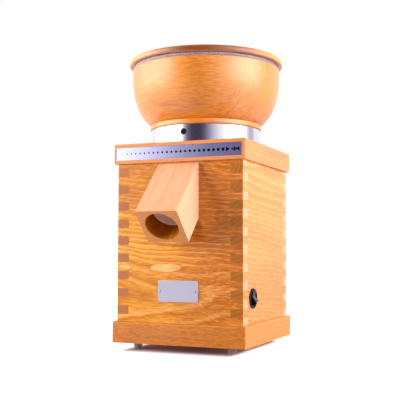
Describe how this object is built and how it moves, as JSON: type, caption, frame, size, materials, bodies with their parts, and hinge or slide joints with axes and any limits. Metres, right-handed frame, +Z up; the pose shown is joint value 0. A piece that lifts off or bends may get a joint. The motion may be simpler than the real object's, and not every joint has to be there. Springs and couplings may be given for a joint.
{
  "type": "electric grain mill",
  "caption": "Electric grain mill: a finger-jointed wooden box holds a motor and millstones; a turned hopper with a lid sets the grind as it is screwed, and flour leaves by a slanted spout.",
  "frame": {"origin": "on the vertical axis of the motor, stones and hopper, at the level that the feet stand on", "axes": "+Z up, -Y the front with the spout, scale and plate, +X the side with the switch"},
  "size_m": [0.1886, 0.233, 0.3487],
  "materials": {
    "box_beech": "oiled, satin",
    "side_beech": "oiled, satin",
    "plinth_beech": "oiled, satin",
    "cap_beech": "oiled, satin",
    "spout_beech": "oiled, satin",
    "bowl_beech": "turned and oiled, satin",
    "lid_beech": "turned and oiled, satin",
    "batten_spruce": "sawn",
    "scale_metal": "anodised, fine satin",
    "ring_metal": "turned, satin",
    "plate_metal": "brushed lengthwise",
    "cast_metal": "die cast",
    "sheet_steel": "zinc plated",
    "screw_steel": "zinc plated",
    "shaft_steel": "ground",
    "bearing_steel": "polished",
    "laminated_steel": "bare laminations",
    "copper_wire": "enamelled copper",
    "chamber_plastic": "moulded, fine satin",
    "tube_plastic": "moulded, fine satin",
    "fan_plastic": "moulded",
    "switch_plastic": "moulded, satin gloss",
    "index_plastic": "moulded",
    "gland_rubber": "moulded",
    "foot_rubber": "clear, soft",
    "seal_rubber": "moulded, grey",
    "millstone": "cast corundum and ceramic, dressed",
    "felt": "pressed felt",
    "can_plastic": "moulded",
    "block_plastic": "moulded",
    "lead_insulation": "insulated wire",
    "tab_brass": "bright"
  },
  "bodies": {
    "housing": {"base_board": "plinth_beech", "front_panel": "box_beech", "rear_panel": "box_beech", "left_panel": "side_beech", "right_panel": "side_beech", "top_board": "cap_beech", "scale_strip": "scale_metal", "spout": "spout_beech", "outlet_tube": "tube_plastic", "name_plate": "plate_metal", "name_plate_pins": "screw_steel", "foot_front_left": "foot_rubber", "foot_front_right": "foot_rubber", "foot_rear_left": "foot_rubber", "foot_rear_right": "foot_rubber", "foot_screws": "screw_steel", "base_screws": "screw_steel", "plate_battens": "batten_spruce", "motor_plate": "sheet_steel", "plate_screws": "screw_steel", "grinding_chamber": "chamber_plastic", "chamber_screws": "screw_steel", "felt_seal": "felt", "thread_bush": "ring_metal", "bush_screws": "screw_steel", "guide_pins": "shaft_steel", "carrier_springs": "screw_steel", "upper_shield": "cast_metal", "lower_shield": "cast_metal", "stator_core": "laminated_steel", "stator_windings": "copper_wire", "upper_bearing": "bearing_steel", "lower_bearing": "bearing_steel", "motor_tie_bolts": "screw_steel", "motor_bolts": "screw_steel", "capacitor": "can_plastic", "capacitor_clip": "sheet_steel", "terminal_block": "block_plastic", "switch_body": "switch_plastic", "switch_terminals": "tab_brass", "cord_gland": "gland_rubber", "wiring": "lead_insulation"},
    "carrier": {"upper_stone": "millstone", "stone_carrier": "cast_metal"},
    "hopper": {"adjusting_ring": "ring_metal", "index_mark": "index_plastic", "feed_tube": "tube_plastic", "hopper_bowl": "bowl_beech", "bowl_screws": "screw_steel"},
    "lid": {"lid": "lid_beech", "lid_seal": "seal_rubber"},
    "rotor": {"motor_shaft": "shaft_steel", "rotor_core": "laminated_steel", "cooling_fan": "fan_plastic", "sweeper": "chamber_plastic", "stone_driver": "cast_metal", "lower_stone": "millstone", "stone_nut": "bearing_steel"},
    "rocker": {"switch_rocker": "switch_plastic"}
  },
  "joints": [
    {"name": "stone_lift", "type": "slide", "parent": "housing", "child": "carrier", "axis": [0, 0, 1], "range_m": [-0.00089, 0.00089], "deforming": ["carrier_springs"]},
    {"name": "hopper_turn", "type": "hinge", "parent": "carrier", "child": "hopper", "pos_m": [0, 0, 0.25], "axis": [0, 0, 1], "range_deg": [-80, 80]},
    {"name": "lid_lift", "type": "slide", "parent": "hopper", "child": "lid", "axis": [0, 0, 1], "range_m": [0, 0.12]},
    {"name": "rotor_spin", "type": "hinge", "parent": "housing", "child": "rotor", "pos_m": [0, 0, 0.12], "axis": [0, 0, 1], "continuous": true},
    {"name": "switch_rock", "type": "hinge", "parent": "housing", "child": "rocker", "pos_m": [0.07215, -0.0495, 0.061], "axis": [0, 1, 0], "range_deg": [0, 30]}
  ],
  "couplings": [
    {"joint": "stone_lift", "follows": "hopper_turn", "m_per_rad": 0.00063662}
  ]
}
